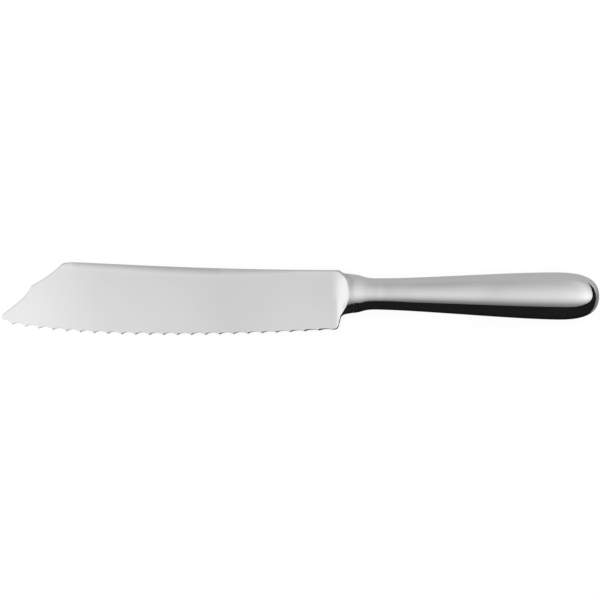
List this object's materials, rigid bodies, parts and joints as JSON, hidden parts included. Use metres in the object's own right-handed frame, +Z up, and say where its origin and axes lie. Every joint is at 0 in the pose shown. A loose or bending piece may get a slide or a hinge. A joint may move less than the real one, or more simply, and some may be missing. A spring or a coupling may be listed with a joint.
{
  "type": "cake knife",
  "caption": "Cake knife with a broad serrated blade, a notched clip tip, a forged bolster and a polished hollow steel handle.",
  "frame": {"origin": "middle of the knife's footprint, on the surface that it lies on", "axes": "+X from the blade's tip to the butt, +Y from the cutting edge to the spine, +Z up out of the upper blade face"},
  "size_m": [0.2698, 0.0326, 0.0132],
  "materials": {
    "blade_steel": "satin polished stainless steel",
    "handle_steel": "mirror polished stainless steel",
    "braze": "silver braze, polished flush",
    "cement": "matte filler"
  },
  "bodies": {
    "root": {"blade": "blade_steel", "handle_shell_front": "handle_steel", "handle_shell_back": "handle_steel", "seam_braze": "braze", "neck_solder": "braze", "tang_cement": "cement"}
  },
  "joints": []
}
